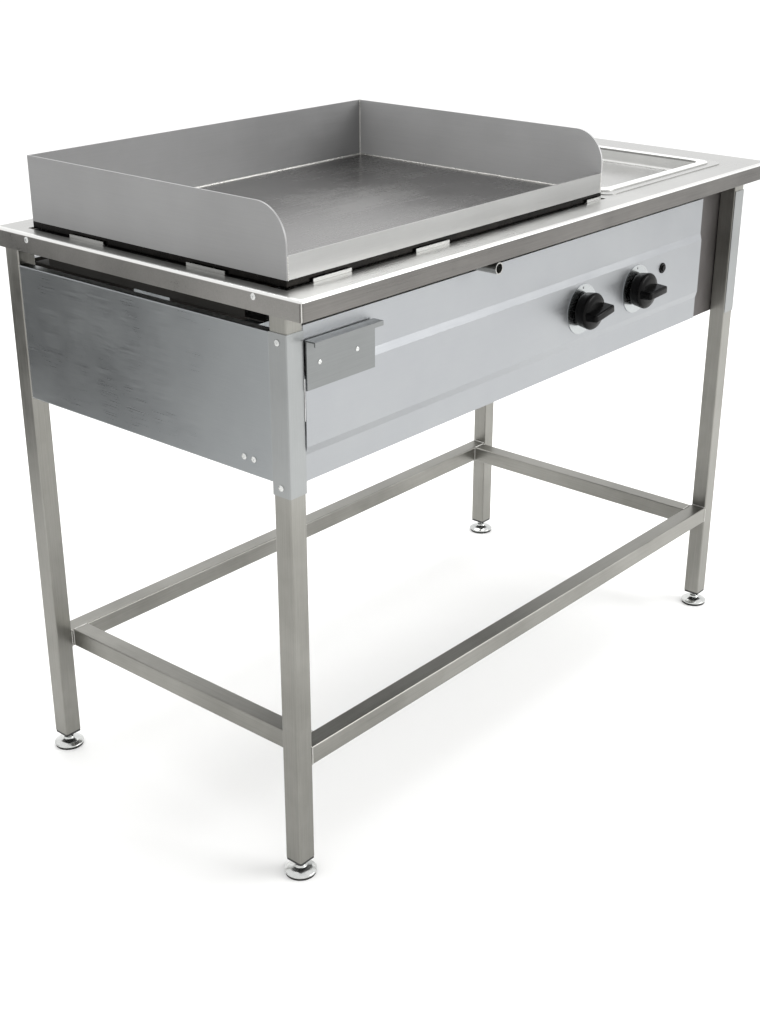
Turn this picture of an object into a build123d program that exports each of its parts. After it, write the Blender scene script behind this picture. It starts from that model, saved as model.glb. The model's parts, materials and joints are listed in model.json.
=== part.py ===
from build123d import *
import os
from math import cos, radians, sin

# Free-standing gas flat top griddle on an open stand. Sizes in millimetres.
# +X points to the user's right, the front faces -Y and +Z is up.
# While modelling, Y = 0 is the front face of the front legs and Z = 0 is the floor.

# ---- stand ----
frame_width = 1176.0
frame_depth = 567.0
worktop_height = 880.0
leg_side = 30.0
tube_wall = 1.5
tube_corner = 2.5
foot_height = 28.0
foot_travel = 20.0
plug_depth = 18.0
plug_rim = 4.0
plug_lip = 0.6
stem_radius = 5.0
stem_spare = 20.0
screw_running_gap = 0.05
dish_radius = 24.0
dish_height = 9.0
pad_height = 4.0
pad_inset = 1.5
rail_bottom = 184.0
rail_height = 30.0
side_rail_inset = 4.0
upper_rail = 25.0

# ---- worktop ----
side_overhang = 12.0
front_overhang = 39.0
rear_overhang = 4.0
worktop_sheet = 1.5
skirt_height = 28.0
top_bend = 4.0
corner_bend = 4.5

# ---- griddle ----
griddle_from_left = 17.0
griddle_from_front = 13.0
griddle_width = 706.0
griddle_from_rear = 51.0
plate_thickness = 10.0
wall_thickness = 3.0
wall_height = 93.0
wall_corner = 50.0
lip_height = 30.0
opening_gap = 6.0
gutter_width = 26.0
gutter_depth = 4.0
gutter_end_gap = 24.0
lug_width = 72.0
corner_lug_width = 38.0
lug_reach = 24.0
lug_upstand = 5.0
lug_sheet = 1.5
lug_gap = 2.5
lug_shares_across = (0.1133, 0.4008)
lug_shares_deep = (0.2823, 0.7575)
corner_lug_inset = 6.0

# ---- drain spout ----
drain_share = 0.5227
drain_from_front = 46.0
spout_radius = 8.5
spout_wall = 1.5
spout_bend = 14.0
spout_gap = 0.5
spout_beyond_skirt = 2.0
panel_spout_gap = 1.5

# ---- side tray ----
tray_gap = 25.0
tray_from_right = 58.0
tray_sheet = 1.2
tray_depth = 20.0
tray_flange = 15.0
tray_bead = 15.0
tray_bead_height = 4.0
tray_corner = 22.0
tray_clearance = 3.0
tray_floor_radius = 6.0

# ---- panels ----
panel_sheet = 1.2
panel_below_top = 258.0
panel_height = 204.0
panel_return = 14.0
panel_bend = 2.0
recess_width = 115.0
band_bottom_gap = 48.0
band_height = 92.0
band_slope = 11.0
band_rise = 3.0
cover_below_top = 274.5
cover_height = 221.5
cover_sheet = 1.2
cover_bend = 2.0

# ---- hook bracket ----
hook_from_leg = 1.0
hook_width = 131.0
hook_height = 67.0
hook_below_top = 66.0
hook_sheet = 2.0
hook_reach = 15.0
hook_hem = 4.5
rivet_radius = 3.0
rivet_height = 1.2
rivet_inset_left = 24.0
rivet_inset_right = 35.0

# ---- gas controls ----
knob_below_top = 162.0
knob_from_end = 209.0
knob_spacing = 160.0
knob_push = 3.0
knob_base_gap = 3.6
knob_base_radius = 24.0
knob_rim_radius = 29.5
knob_drum_depth = 20.0
knob_depth = 42.5
grip_width = 55.0
grip_height = 15.0
grip_edge = 3.0
index_radius = 40.0
index_sheet = 1.0
spindle_radius = 4.0
spindle_hole = 7.0
tap_body = 30.0
tap_length = 38.0
tap_front_gap = 12.0
plug_radius = 10.0
plug_length = 26.0
tap_corner = 5.0
tap_stub_radius = 8.0
gas_way_radius = 2.5
running_gap = 0.05
manifold_radius = 10.65
manifold_wall = 2.6
manifold_end = 42.0
manifold_bend = 40.0
inlet_from_end = 150.0
inlet_beyond_frame = 22.0
inlet_thread_radius = 10.48
inlet_thread_length = 18.0
inlet_hole_gap = 1.5

# ---- burners ----
burner_radius = 21.0
burner_wall = 1.5
burner_below_top = 80.0
burner_nose = 9.0
burner_rear_gap = 60.0
burner_share = 0.27
port_radius = 1.6
port_pitch = 20.0
port_angle = 30.0
port_front_gap = 50.0
port_rear_gap = 30.0
injector_radius = 8.0
injector_length = 16.0
injector_gap = 8.0
jet_radius = 0.8
pipe_radius = 4.0
pipe_plane = 33.0
pipe_bend = 12.0
pipe_drop = 22.0
channel_depth = 38.0
channel_height = 20.0
channel_below_top = 245.0
channel_sheet = 2.0
channel_from_leg = 25.0
cradle_width = 70.0
cradle_sheet = 2.0
cradle_rise = 10.0
cradle_clearance = 0.4
holder_from_tap = 30.0

# ---- igniter ----
igniter_from_end = 128.0
igniter_below_top = 143.0
bezel_radius = 8.0
bezel_depth = 2.0
button_radius = 5.5
button_depth = 4.5
button_travel = 3.5
button_guide = 8.0
button_edge = 1.5
button_well_spare = 0.5
igniter_body_radius = 7.0
igniter_body_length = 40.0
lead_radius = 1.6
lead_bend = 18.0
lead_straight = 70.0
lead_aside = 120.0
lead_sag = 27.0
electrode_radius = 4.0
electrode_length = 44.0
electrode_tip_radius = 1.2
electrode_tip_length = 12.0
electrode_offset = 34.0
electrode_behind = 18.0
electrode_drop = 24.0
electrode_plate_drop = 12.0
electrode_plate_edge = 8.0
electrode_plate_start = 22.0

# ---- screws ----
screw_head_radius = 4.5
screw_head_height = 2.2
screw_shank_radius = 2.0
screw_grip = 4.0
cover_screw_edge = 12.5
skirt_screw_drop = 9.0
skirt_screw_from_front = 43.0
skirt_screw_from_rear = 71.0
skirt_screw_tip_gap = 2.0
fixing_block_height = 9.0
fixing_block_past_screw = 8.0
panel_screw_inset = 10.0
panel_screw_pitch = 18.0

# ---- stiffening channels under the worktop ----
stiffener_height = 48.0
stiffener_width = 24.0
stiffener_sheet = 1.5
stiffener_end_gap = 22.0
stiffener_notch = 33.0
stiffener_offset = 4.0

# ---- places worked out from the sizes above ----
left = -frame_width / 2
right = frame_width / 2
rear = frame_depth
under_top = worktop_height - worktop_sheet
skirt_bottom = worktop_height - skirt_height
worktop_left = left - side_overhang
worktop_right = right + side_overhang
worktop_front = -front_overhang
worktop_rear = rear + rear_overhang
spout_level = skirt_bottom - spout_gap - spout_radius
leg_in = leg_side
griddle_left = left + griddle_from_left
griddle_right = griddle_left + griddle_width
griddle_front = griddle_from_front
griddle_rear = rear - griddle_from_rear
griddle_depth = griddle_rear - griddle_front
drain_x = griddle_left + griddle_width * drain_share
plate_top = worktop_height + plate_thickness
tray_left = griddle_right + tray_gap
tray_right = right - tray_from_right
tray_width = tray_right - tray_left
panel_bottom = worktop_height - panel_below_top
panel_top = panel_bottom + panel_height
front_panel_top = spout_level - spout_radius - panel_spout_gap
front_panel_left = left + leg_in
front_panel_right = right - leg_in - recess_width
front_panel_width = front_panel_right - front_panel_left
cover_bottom = worktop_height - cover_below_top
hook_top = worktop_height - hook_below_top
band_front = -band_rise
index_front = band_front - index_sheet
knob_back = index_front - knob_base_gap
knob_front = knob_back - knob_depth
knob_height = worktop_height - knob_below_top
right_knob = front_panel_right - knob_from_end
knob_places = [right_knob - knob_spacing, right_knob]
igniter_x = front_panel_right - igniter_from_end
igniter_height = worktop_height - igniter_below_top
channel_bottom = worktop_height - channel_below_top
channel_front = leg_in + channel_from_leg
channel_rear_face = rear - channel_front
manifold_from_front = channel_front + channel_depth / 2
burner_height = worktop_height - burner_below_top
burner_front = channel_front + channel_depth - burner_nose
burner_places = [griddle_left + griddle_width * share for share in (burner_share, 1 - burner_share)]
burner_rear = griddle_rear - burner_rear_gap
inlet_end = rear + inlet_beyond_frame
inlet_x = front_panel_right - inlet_from_end
lug_places_across = [
    (griddle_left + griddle_width * lug_shares_across[0], lug_width),
    (griddle_left + griddle_width * lug_shares_across[1], lug_width),
    (griddle_right - corner_lug_width / 2 - corner_lug_inset, corner_lug_width),
]
lug_places_deep = [griddle_front + griddle_depth * share for share in lug_shares_deep]
middle_y = (knob_front + inlet_end) / 2

FRONT = (0, -1, 0)
BACK = (0, 1, 0)
LEFT = (-1, 0, 0)
RIGHT = (1, 0, 0)
UP = (0, 0, 1)


def save(shape, name):
    """Write one sub-part, moved so that the whole object stands centred on the origin."""
    export_step(Pos(0, -middle_y, 0) * shape, "parts/" + name + ".step")


def group(shapes):
    """Several separate solids that share one node."""
    return Compound(children=[solid for shape in shapes for solid in shape.solids()])


def block(x0, x1, y0, y1, z0, z1):
    """A box between two opposite corners."""
    middle = Pos((x0 + x1) / 2, (y0 + y1) / 2, (z0 + z1) / 2)
    return middle * Box(x1 - x0, y1 - y0, z1 - z0)


def rod(start, direction, radius, length):
    """A round bar from a start point along a direction."""
    return Solid.make_cylinder(radius, length, Plane(origin=start, z_dir=direction))


def square_tube(start, direction, across, width, height, length):
    """A hollow rectangular tube with rounded corners."""
    plane = Plane(origin=start, x_dir=across, z_dir=direction)
    inner_corner = tube_corner - tube_wall
    profile = RectangleRounded(width, height, tube_corner)
    profile -= RectangleRounded(width - 2 * tube_wall, height - 2 * tube_wall, inner_corner)
    return extrude(plane * profile, length)


def bent_rod(points, radius, bend, wall=0.0):
    """A pipe along straight runs joined by arcs, hollow when a wall is given."""
    path = FilletPolyline(*points, radius=bend)
    start = Plane(origin=path @ 0, z_dir=path % 0)
    section = Circle(radius)
    if wall > 0:
        section -= Circle(radius - wall)
    return sweep(start * section, path)


def open_box(x0, x1, y0, y1, z0, z1, open_side, sheet, bend):
    """A shallow folded tray of sheet, open on one side."""
    outer = block(x0, x1, y0, y1, z0, z1)
    closed = {"+x": (Axis.X, 0), "-x": (Axis.X, -1), "+y": (Axis.Y, 0), "-y": (Axis.Y, -1)}
    axis, index = closed[open_side]
    outer = fillet(outer.faces().sort_by(axis)[index].edges(), bend)
    low = [x0 + sheet, y0 + sheet, z0 + sheet]
    high = [x1 - sheet, y1 - sheet, z1 - sheet]
    number = 0 if axis == Axis.X else 1
    if open_side[0] == "+":
        high[number] += 2 * sheet
    else:
        low[number] -= 2 * sheet
    inner = block(low[0], high[0], low[1], high[1], low[2], high[2])
    opposite = inner.faces().sort_by(axis)[index]
    inner = fillet(opposite.edges(), bend - sheet)
    return outer - inner


def screw(seat, outward, grip):
    """A pan head screw: a low domed head outside and a plain shank into the metal."""
    head = rod(seat, outward, screw_head_radius, screw_head_height)
    axis = Axis.X if outward[0] else Axis.Y
    index = -1 if outward[0] + outward[1] > 0 else 0
    head = fillet(head.faces().sort_by(axis)[index].edges(), screw_head_height * 0.6)
    inward = (-outward[0], -outward[1], -outward[2])
    return head + rod(seat, inward, screw_shank_radius, grip)


def leg_corners():
    """Each leg's name, outer left edge and front face."""
    corners = []
    for side, x in (("left", left), ("right", right - leg_side)):
        for end, y in (("front", 0.0), ("rear", rear - leg_side)):
            corners.append((end + "_" + side, x, y))
    return corners


# ---- screws, placed first because the sheets are drilled for them ----
side_screws = []
for side, outward, face in (("left", LEFT, left), ("right", RIGHT, right)):
    sign = outward[0]
    cover_face = face + sign * cover_sheet
    skirt_face = face + sign * side_overhang
    for z in (cover_bottom + cover_screw_edge, cover_bottom + cover_height - cover_screw_edge):
        side_screws.append(screw((cover_face, leg_side / 2, z), outward, screw_grip))
    for y in (skirt_screw_from_front, rear - skirt_screw_from_rear):
        seat = (skirt_face, y, worktop_height - skirt_screw_drop)
        side_screws.append(screw(seat, outward, side_overhang - skirt_screw_tip_gap))
    for y in (channel_front + panel_screw_inset, channel_front + panel_screw_inset + panel_screw_pitch):
        side_screws.append(screw((face, y, channel_bottom + channel_height / 2), outward, screw_grip))


# ---- legs, plugs and levelling feet ----
def leg(x, y):
    centre = (x + leg_side / 2, y + leg_side / 2, foot_height)
    tube = square_tube(centre, UP, RIGHT, leg_side, leg_side, under_top - foot_height)
    return tube - side_screws


def leg_plug(x, y):
    """A pressed-in plastic plug with a collar under the tube and a threaded hole for the foot."""
    centre_x = x + leg_side / 2
    centre_y = y + leg_side / 2
    inside = leg_side - 2 * tube_wall
    plane = Plane(origin=(centre_x, centre_y, foot_height))
    shank = extrude(plane * RectangleRounded(inside, inside, tube_corner - tube_wall), plug_depth)
    rim_side = leg_side - 2 * plug_lip
    rim_plane = Plane(origin=(centre_x, centre_y, foot_height - plug_rim))
    rim = extrude(rim_plane * RectangleRounded(rim_side, rim_side, tube_corner - plug_lip), plug_rim)
    hole = rod((centre_x, centre_y, 0), UP, stem_radius + screw_running_gap, foot_height + plug_depth)
    return shank + rim - hole


def foot(x, y):
    """A domed steel dish with its threaded stem."""
    centre = (x + leg_side / 2, y + leg_side / 2)
    low = pad_height
    high = pad_height + dish_height
    stem_top = foot_height + foot_travel + stem_spare
    profile = Polyline(
        (0, low),
        (dish_radius, low),
        (dish_radius, low + dish_height * 0.25),
        (dish_radius * 0.72, low + dish_height * 0.72),
        (stem_radius * 1.7, high),
        (stem_radius, high),
        (stem_radius, stem_top),
        (0, stem_top),
        close=True,
    )
    return Pos(*centre, 0) * revolve(Plane.XZ * make_face(profile), Axis.Z)


def foot_pad(x, y):
    """The rubber disc under the dish."""
    return rod((x + leg_side / 2, y + leg_side / 2, 0), UP, dish_radius - pad_inset, pad_height)


# ---- lower and upper rails ----
def cross_rail(y, z, height, depth):
    """A tube between a left and a right leg, its section centred on the given place."""
    start = (left + leg_in, y, z)
    return square_tube(start, RIGHT, BACK, depth, height, frame_width - 2 * leg_in)


def side_rail(x):
    start = (x, leg_in, rail_bottom + rail_height / 2)
    return square_tube(start, BACK, RIGHT, leg_side, rail_height, frame_depth - 2 * leg_in)


# ---- worktop ----
def worktop():
    """The folded top with its skirt, cut out for the griddle and for the side tray."""
    outer = block(worktop_left, worktop_right, worktop_front, worktop_rear, skirt_bottom, worktop_height)
    outer = fillet(outer.edges().filter_by(Axis.Z), corner_bend)
    outer = fillet(outer.faces().sort_by(Axis.Z)[-1].edges(), top_bend)
    sheet = worktop_sheet
    inner = block(
        worktop_left + sheet,
        worktop_right - sheet,
        worktop_front + sheet,
        worktop_rear - sheet,
        skirt_bottom - sheet,
        under_top,
    )
    inner = fillet(inner.edges().filter_by(Axis.Z), corner_bend - sheet)
    inner = fillet(inner.faces().sort_by(Axis.Z)[-1].edges(), top_bend - sheet)
    gap = opening_gap
    griddle_cut = block(
        griddle_left - gap,
        griddle_right + gap,
        griddle_front - gap,
        griddle_rear + gap,
        skirt_bottom,
        worktop_height + sheet,
    )
    return outer - inner - griddle_cut - tray_cut() - side_screws


def tray_rim():
    return tray_flange + tray_bead


def tray_slab(inset, corner, low, high):
    """A rounded rectangle over the side tray's place, shrunk by an inset."""
    width = tray_width - 2 * inset
    depth = griddle_depth - 2 * inset
    middle = ((tray_left + tray_right) / 2, (griddle_front + griddle_rear) / 2, low)
    return extrude(Plane(origin=middle) * RectangleRounded(width, depth, corner), high - low)


def tray_cut():
    inset = tray_rim() - tray_sheet - tray_clearance
    return tray_slab(inset, tray_corner, skirt_bottom, worktop_height + 1)


def side_tray():
    """A drop-in pan: an outer flange, a raised hollow bead and a shallow rounded well."""
    top = worktop_height
    bead_top = top + tray_bead_height
    floor = top - tray_depth
    flange = tray_slab(0, tray_corner, top, top + tray_sheet)
    bead = tray_slab(tray_flange, tray_corner, top, bead_top)
    bead = fillet(bead.faces().sort_by(Axis.Z)[-1].edges(), tray_bead_height * 0.7)
    body = tray_slab(tray_rim() - tray_sheet, tray_corner, floor - tray_sheet, top)
    body = fillet(body.faces().sort_by(Axis.Z)[0].edges(), tray_floor_radius)
    well = tray_slab(tray_rim(), tray_corner - tray_sheet, floor, bead_top + 1)
    well = fillet(well.faces().sort_by(Axis.Z)[0].edges(), tray_floor_radius - tray_sheet)
    hollow = tray_slab(tray_flange + tray_sheet, tray_corner, top - 1, bead_top - tray_sheet)
    hollow -= tray_slab(tray_rim() - tray_sheet, tray_corner, top - 2, bead_top)
    tray = flange + bead + body - well - hollow
    rim = tray.edges().filter_by(Plane.XY).filter_by_position(Axis.Z, bead_top - 0.1, bead_top + 0.1)
    return fillet(rim, tray_sheet * 0.5)


# ---- stiffening channels ----
def stiffener(web_x, reach):
    """A channel under the worktop beside the griddle, its web notched at both ends."""
    front_end = leg_in + stiffener_end_gap
    rear_end = rear - leg_in - stiffener_end_gap
    low = under_top - stiffener_height
    x0, x1 = sorted((web_x, web_x + reach))
    channel = block(x0, x1, front_end, rear_end, low, under_top)
    sheet = stiffener_sheet
    inside_x = (x0 + sheet, x1 + sheet) if reach > 0 else (x0 - sheet, x1 - sheet)
    channel -= block(*inside_x, front_end - 1, rear_end + 1, low + sheet, under_top - sheet)
    web_x0, web_x1 = (x0 - 1, x0 + sheet) if reach > 0 else (x1 - sheet, x1 + 1)
    for y0, y1 in (
        (front_end - 1, front_end + stiffener_notch),
        (rear_end - stiffener_notch, rear_end + 1),
    ):
        channel -= block(web_x0, web_x1, y0, y1, low + sheet, under_top - sheet)
    return channel


# ---- griddle ----
def drain_hole(low, high):
    radius = spout_radius - spout_wall
    return rod((drain_x, drain_from_front, low), UP, radius, high - low)


def griddle_plate():
    """The thick cooking plate with its front gutter and the drain hole in the gutter."""
    plate = block(griddle_left, griddle_right, griddle_front, griddle_rear, worktop_height, plate_top)
    gutter = block(
        griddle_left + gutter_end_gap,
        griddle_right - gutter_end_gap,
        drain_from_front - gutter_width / 2,
        drain_from_front + gutter_width / 2,
        plate_top - gutter_depth,
        plate_top + gutter_depth,
    )
    gutter = fillet(gutter.edges().filter_by(Axis.Z), gutter_width * 0.45)
    return plate - gutter - drain_hole(worktop_height - 1, plate_top)


def side_wall(x0):
    """A splash wall whose upper front corner is rounded off."""
    wall = block(x0, x0 + wall_thickness, griddle_front, griddle_rear, plate_top, plate_top + wall_height)
    upper_front = wall.edges().filter_by(Axis.X).group_by(Axis.Z)[-1].sort_by(Axis.Y)[0]
    return fillet(upper_front, wall_corner)


def cross_wall(y0, height):
    x0 = griddle_left + wall_thickness
    x1 = griddle_right - wall_thickness
    return block(x0, x1, y0, y0 + wall_thickness, plate_top, plate_top + height)


def lug(centre, width, outward):
    """A tongue under the plate's edge with a low upstand that keeps the plate in place."""
    tongue_out = opening_gap
    reach = lug_reach
    base = block(-width / 2, width / 2, -tongue_out, reach, under_top, worktop_height)
    upstand = block(
        -width / 2,
        width / 2,
        -lug_gap - lug_sheet,
        -lug_gap,
        under_top,
        worktop_height + lug_upstand,
    )
    return Pos(*centre, 0) * Rot(0, 0, outward) * (base + upstand)


def fixing_blocks():
    """Bars between the worktop's skirt and the legs, which the skirt screws turn into."""
    middle = worktop_height - skirt_screw_drop
    low = middle - fixing_block_height / 2
    high = middle + fixing_block_height / 2
    front_end = skirt_screw_from_front + fixing_block_past_screw
    rear_end = rear - skirt_screw_from_rear - fixing_block_past_screw
    bars = []
    for x0, x1 in ((worktop_left + worktop_sheet, left), (right, worktop_right - worktop_sheet)):
        bars.append(block(x0, x1, leg_side / 2, front_end, low, high) - side_screws)
        bars.append(block(x0, x1, rear_end, rear - leg_side / 2, low, high) - side_screws)
    return bars


def lugs():
    pieces = []
    for x, width in lug_places_across:
        pieces.append(lug((x, griddle_front), width, 0))
        pieces.append(lug((x, griddle_rear), width, 180))
    for y in lug_places_deep:
        pieces.append(lug((griddle_left, y), lug_width, -90))
        pieces.append(lug((griddle_right, y), lug_width, 90))
    pieces.extend(fixing_blocks())
    return group(pieces)


def drain_spout():
    """The pipe from the gutter's hole, down behind the upper rail and out below the skirt."""
    points = [
        (drain_x, drain_from_front, worktop_height),
        (drain_x, drain_from_front, spout_level),
        (drain_x, worktop_front - spout_beyond_skirt, spout_level),
    ]
    return bent_rod(points, spout_radius, spout_bend, spout_wall)


# ---- panels ----
def side_panel(x_face, open_side):
    x0, x1 = sorted((x_face, x_face + (panel_return if open_side == "+x" else -panel_return)))
    panel = open_box(
        x0, x1, leg_in, rear - leg_in, panel_bottom, panel_top, open_side, panel_sheet, panel_bend
    )
    return panel - side_screws


def rear_panel():
    panel = open_box(
        left + leg_in,
        right - leg_in,
        rear - panel_return,
        rear,
        panel_bottom,
        panel_top,
        "-y",
        panel_sheet,
        panel_bend,
    )
    hole = rod((inlet_x, rear - 2 * panel_return, knob_height), BACK, manifold_radius + inlet_hole_gap, 60)
    return panel - hole


def front_panel_profile():
    """Side view of the front sheet: two returns and a wide band that stands proud."""
    low = panel_bottom
    high = front_panel_top
    sheet = panel_sheet
    band_low = low + band_bottom_gap
    band_high = band_low + band_height
    points = [
        (0, low),
        (0, band_low - band_slope),
        (band_front, band_low),
        (band_front, band_high),
        (0, band_high + band_slope),
        (0, high),
        (panel_return, high),
        (panel_return, high - sheet),
        (sheet, high - sheet),
        (sheet, band_high + band_slope),
        (band_front + sheet, band_high),
        (band_front + sheet, band_low),
        (sheet, band_low - band_slope),
        (sheet, low + sheet),
        (panel_return, low + sheet),
        (panel_return, low),
    ]
    return make_face(Polyline(*points, close=True))


def front_panel():
    plane = Plane(origin=(front_panel_left, 0, 0), x_dir=BACK, z_dir=RIGHT)
    panel = extrude(plane * front_panel_profile(), front_panel_width)
    end = block(
        front_panel_right - panel_sheet,
        front_panel_right,
        panel_sheet,
        leg_side,
        panel_bottom + panel_sheet,
        front_panel_top - panel_sheet,
    )
    panel += end
    for x in knob_places:
        panel -= rod((x, panel_return, knob_height), FRONT, spindle_hole, 3 * panel_return)
    igniter_hole = (igniter_x, panel_return, igniter_height)
    panel -= rod(igniter_hole, FRONT, igniter_body_radius, 3 * panel_return)
    return panel - hook_rivets()


def recess_panel():
    """The set-back filler between the front sheet's end and the right leg."""
    return block(
        front_panel_right - panel_return,
        right - panel_return,
        leg_side,
        leg_side + panel_sheet,
        cover_bottom,
        front_panel_top,
    )


def corner_cover(side):
    """An angle of sheet over the outer and front faces of a front leg."""
    sign = -1 if side == "left" else 1
    face = left if side == "left" else right
    x0, x1 = sorted((face + sign * cover_sheet, face - sign * leg_side))
    cover = block(x0, x1, -cover_sheet, leg_side, cover_bottom, cover_bottom + cover_height)
    corner = cover.edges().filter_by(Axis.Z).group_by(Axis.Y)[0].sort_by(Axis.X)[0 if sign < 0 else -1]
    cover = fillet(corner, cover_bend)
    core_x0, core_x1 = sorted((face, face - sign * (leg_side + 1)))
    core = block(core_x0, core_x1, 0, leg_side + 1, cover_bottom - 1, cover_bottom + cover_height + 1)
    inner_corner = core.edges().filter_by(Axis.Z).group_by(Axis.Y)[0].sort_by(Axis.X)[0 if sign < 0 else -1]
    core = fillet(inner_corner, tube_corner)
    return cover - core - side_screws


# ---- hook bracket ----
def hook_bracket():
    """A flat plate whose top edge is folded forwards into a ledge with a short hem."""
    x0 = front_panel_left + hook_from_leg
    x1 = x0 + hook_width
    sheet = hook_sheet
    front = band_front - sheet
    plate = block(x0, x1, front, front + sheet, hook_top - hook_height, hook_top)
    ledge = block(x0, x1, front - hook_reach, front + sheet, hook_top - sheet, hook_top)
    hem = block(
        x0, x1, front - hook_reach, front - hook_reach + sheet, hook_top - hook_hem - sheet, hook_top
    )
    bracket = plate + ledge + hem
    return bracket - hook_rivets()


def hook_rivets():
    """Two rivets through the bracket, which lies on the raised band, into the front sheet behind it."""
    z = hook_top - hook_height / 2
    seat = band_front - hook_sheet
    x0 = front_panel_left + hook_from_leg
    pieces = []
    for x in (x0 + rivet_inset_left, x0 + hook_width - rivet_inset_right):
        head = rod((x, seat, z), FRONT, rivet_radius, rivet_height)
        head = fillet(head.faces().sort_by(Axis.Y)[0].edges(), rivet_height * 0.7)
        shank = rod((x, seat, z), BACK, rivet_radius * 0.55, hook_sheet + band_rise + panel_sheet + 1.5)
        pieces.append(head + shank)
    return group(pieces)


# ---- gas controls ----
def index_plates():
    plates = []
    for x in knob_places:
        plate = rod((x, band_front, knob_height), FRONT, index_radius, index_sheet)
        plates.append(plate - rod((x, 0, knob_height), FRONT, spindle_hole, 3 * panel_return))
    return group(plates)


def knob(x):
    """A flared round knob with a grip bar across its face and a blind bore for the spindle."""
    profile = Polyline(
        (0, 0),
        (knob_base_radius, 0),
        (knob_rim_radius, knob_drum_depth * 0.75),
        (knob_rim_radius, knob_drum_depth * 0.85),
        (knob_rim_radius * 0.8, knob_drum_depth),
        (0, knob_drum_depth + 3.0),
        close=True,
    )
    place = Plane(origin=(x, knob_back, knob_height), x_dir=RIGHT, z_dir=FRONT)
    drum = revolve(Plane.XZ * make_face(profile), Axis.Z)
    grip = Pos(0, 0, (knob_drum_depth * 0.6 + knob_depth) / 2) * Box(
        grip_width, grip_height, knob_depth - knob_drum_depth * 0.6
    )
    grip = fillet(grip.edges(), grip_edge)
    bore = rod((0, 0, -1), UP, spindle_radius, 1 + knob_drum_depth * 0.8)
    return place.from_local_coords(drum + grip - bore)


def tap_frame():
    """Where a tap's body starts and ends behind the front sheet."""
    return tap_front_gap, tap_front_gap + tap_length


def tap_plug_start():
    return tap_front_gap + (tap_length - plug_length) / 2


def tap(x):
    """A brass tap body on the manifold, bored for its tapered plug and spindle."""
    front_end, rear_end = tap_frame()
    half = tap_body / 2
    body = block(x - half, x + half, front_end, rear_end, knob_height - half, knob_height + half)
    body = fillet(body.edges().filter_by(Axis.Y), tap_corner)
    stub = rod((x, rear_end, knob_height), BACK, tap_stub_radius, manifold_from_front - rear_end)
    stub -= rod((x - tap_body, manifold_from_front, knob_height), RIGHT, manifold_radius, 2 * tap_body)
    body += stub
    body -= rod((x, tap_plug_start(), knob_height), BACK, plug_radius + running_gap, plug_length)
    body -= rod((x, 0, knob_height), BACK, spindle_radius + running_gap, tap_plug_start() + 1)
    return body


def tap_plug(x):
    """The turning plug inside the tap, with a socket that the spindle slides in."""
    start = tap_plug_start() + running_gap
    length = plug_length - 2 * running_gap
    plug = rod((x, start, knob_height), BACK, plug_radius, length)
    plug -= rod((x, start - 1, knob_height), BACK, spindle_radius + running_gap, 1 + spindle_socket())
    below_plug = (x, start + length * 0.75, knob_height - 2 * plug_radius)
    return plug - rod(below_plug, UP, gas_way_radius, 4 * plug_radius)


def spindle_socket():
    return plug_length * 0.55


def spindle(x):
    """The push-and-turn spindle between the plug's socket and the knob."""
    back_end = tap_plug_start() + running_gap + spindle_socket() - knob_push - 0.5
    front_end = knob_back - knob_drum_depth * 0.8
    return rod((x, back_end, knob_height), FRONT, spindle_radius, back_end - front_end)


def gas_manifold():
    """The gas pipe behind the taps that bends back to the inlet at the rear."""
    start_x = knob_places[0] - manifold_end
    points = [
        (start_x, manifold_from_front, knob_height),
        (inlet_x, manifold_from_front, knob_height),
        (inlet_x, inlet_end, knob_height),
    ]
    pipe = bent_rod(points, manifold_radius, manifold_bend, manifold_wall)
    cap = rod((start_x, manifold_from_front, knob_height), LEFT, manifold_radius, manifold_wall)
    thread_start = (inlet_x, inlet_end - inlet_thread_length, knob_height)
    turned_off = rod(thread_start, BACK, manifold_radius + 1, inlet_thread_length + 1)
    turned_off -= rod(thread_start, BACK, inlet_thread_radius, inlet_thread_length + 1)
    return pipe + cap - turned_off


def supply_pipes():
    """The left tap feeds the right burner over the manifold; the right tap feeds the left one below it."""
    left_tap, right_tap = knob_places
    left_burner, right_burner = burner_places
    return group([supply_pipe(left_tap, right_burner, False), supply_pipe(right_tap, left_burner, True)])


def supply_pipe(tap_x, burner_x, outlet_down):
    """A thin gas pipe from one tap's outlet to the holder of one burner's injector."""
    half = tap_body / 2
    level = knob_height - half - pipe_drop if outlet_down else burner_height
    outlet = knob_height - half if outlet_down else knob_height + half
    points = [(tap_x, pipe_plane, outlet), (tap_x, pipe_plane, level)]
    if outlet_down:
        points += [(burner_x, pipe_plane, level)]
    points += [(burner_x, pipe_plane, burner_height), (burner_x, injector_start(), burner_height)]
    return bent_rod(points, pipe_radius, pipe_bend)


def injector_start():
    return burner_front - injector_length - injector_gap


# ---- burners ----
def burner(x):
    """A round tube burner with two rows of ports and its brass injector holder in front."""
    length = burner_rear - burner_front
    tube = rod((x, burner_front, burner_height), BACK, burner_radius, length)
    inside = burner_radius - burner_wall
    tube -= rod((x, burner_front - 1, burner_height), BACK, inside, length - burner_wall + 1)
    count = int((length - port_front_gap - port_rear_gap) / port_pitch)
    ports = []
    for i in range(count):
        y = burner_front + port_front_gap + i * port_pitch
        for side in (-1, 1):
            direction = (side * sin(radians(port_angle)), 0, cos(radians(port_angle)))
            ports.append(rod((x, y, burner_height), direction, port_radius, burner_radius + 2))
    return tube - ports


def injectors():
    pieces = []
    for x in burner_places:
        holder = rod((x, injector_start(), burner_height), BACK, injector_radius, injector_length)
        jet = rod((x, injector_start() - 1, burner_height), BACK, jet_radius, injector_length + 2)
        pieces.append(holder - jet)
    return group(pieces)


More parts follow.
